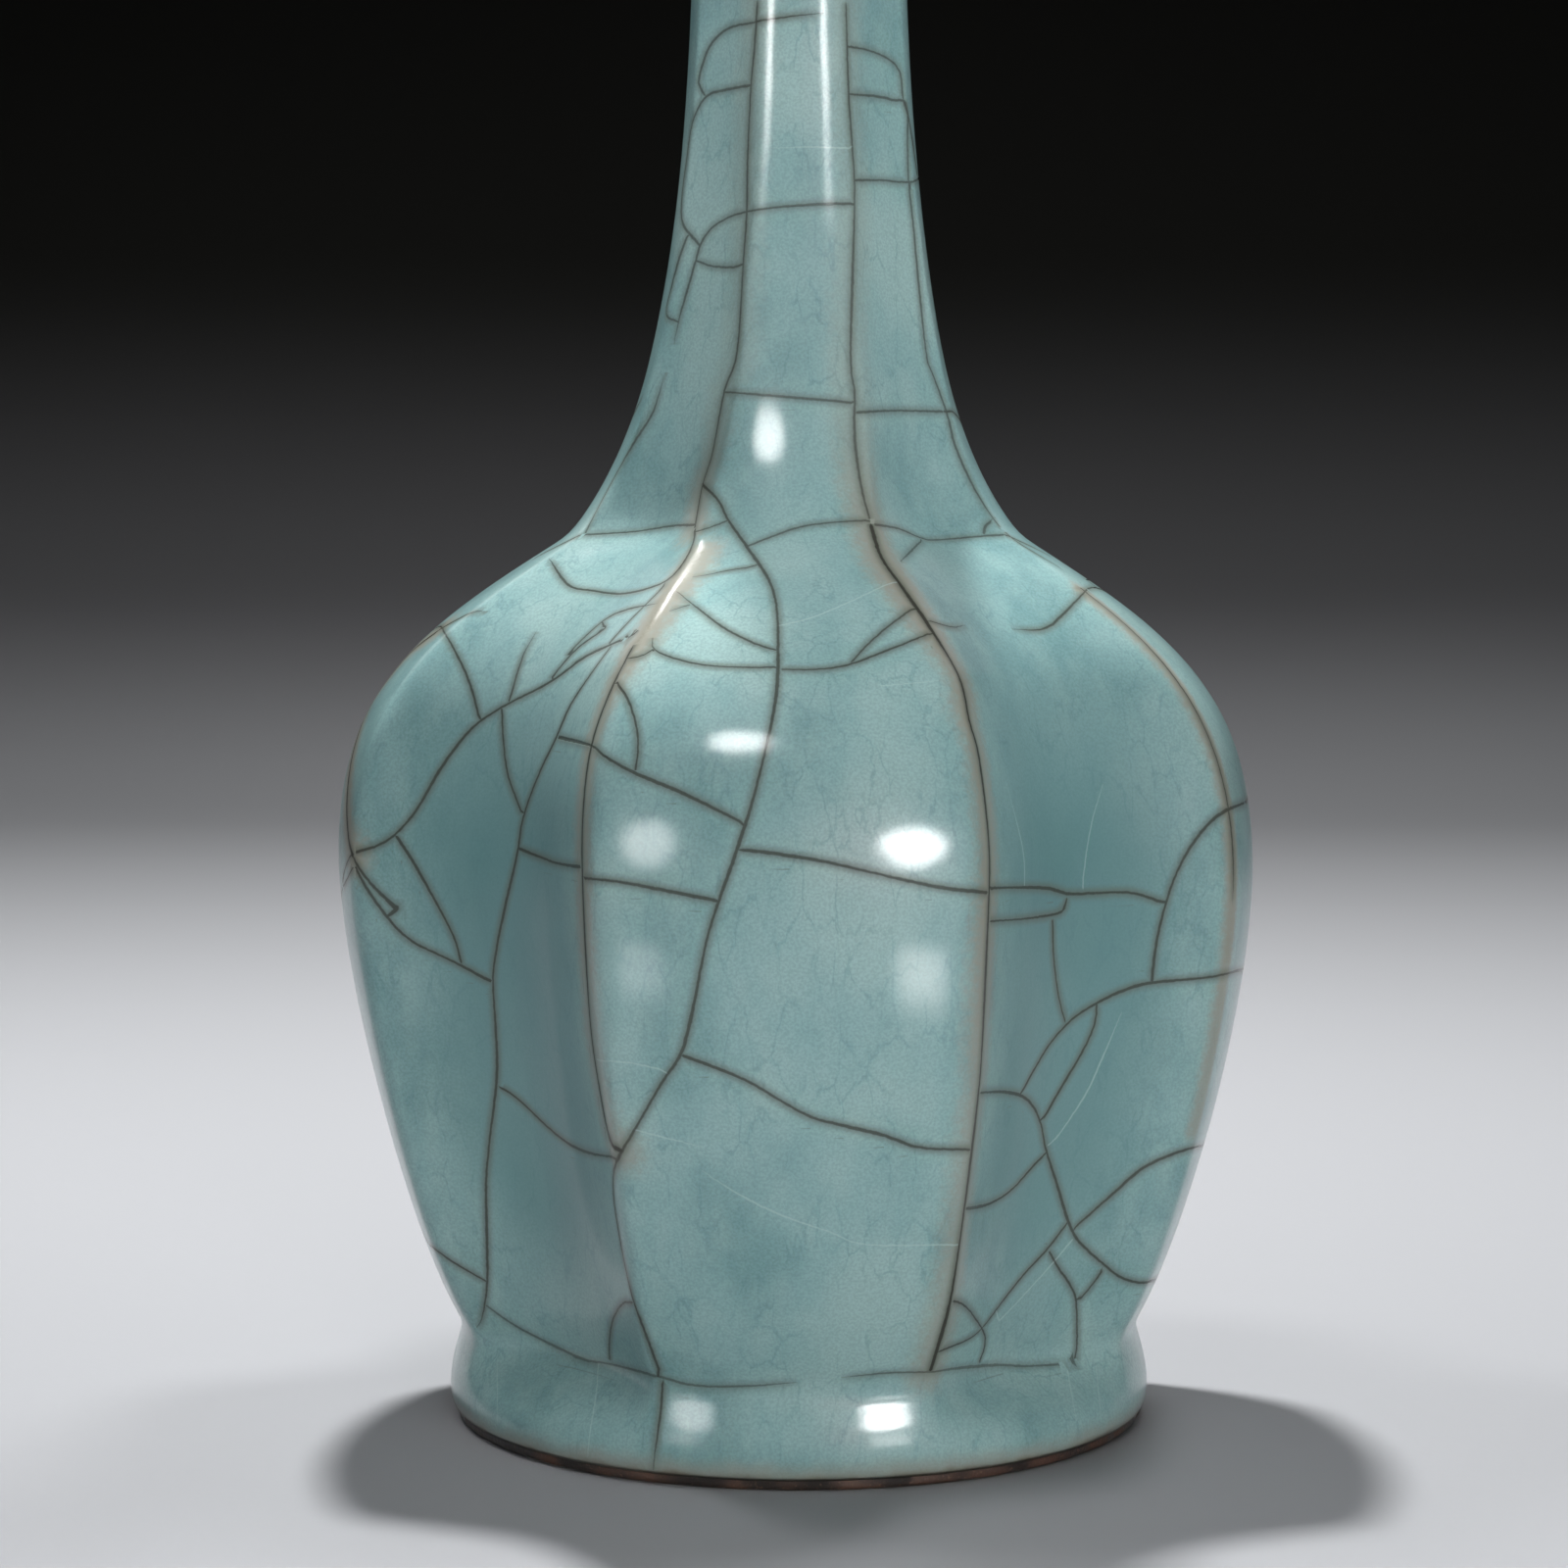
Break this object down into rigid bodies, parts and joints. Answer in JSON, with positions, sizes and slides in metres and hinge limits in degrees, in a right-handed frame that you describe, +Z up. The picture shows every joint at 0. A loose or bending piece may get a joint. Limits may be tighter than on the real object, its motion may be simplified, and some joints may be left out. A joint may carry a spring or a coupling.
{
  "type": "vase",
  "caption": "Tall bottle vase with alternating convex and fluted panels, long faceted neck, flared mouth and round foot under a thick crackled blue-green glaze.",
  "frame": {"origin": "centre of the foot on the surface that the vase stands on", "axes": "+Z up along the vase's axis, -Y out of the convex panel that faces the viewer, +X to the viewer's right"},
  "size_m": [0.1672, 0.1672, 0.326],
  "materials": {
    "grey_stoneware": "fired, unglazed, matt grey clay",
    "iron_foot": "bare foot, burnt dark iron-brown, slightly glossy",
    "celadon_glaze": "thick glossy blue-green celadon with brown crackle",
    "inner_glaze": "glossy blue-green celadon"
  },
  "bodies": {
    "root": {"foot_ring": "iron_foot", "base_floor": "grey_stoneware", "lower_body": "grey_stoneware", "upper_body": "grey_stoneware", "neck": "grey_stoneware", "mouth_rim": "grey_stoneware", "outer_glaze": "celadon_glaze", "inner_glaze": "inner_glaze", "base_glaze": "inner_glaze"}
  },
  "joints": []
}
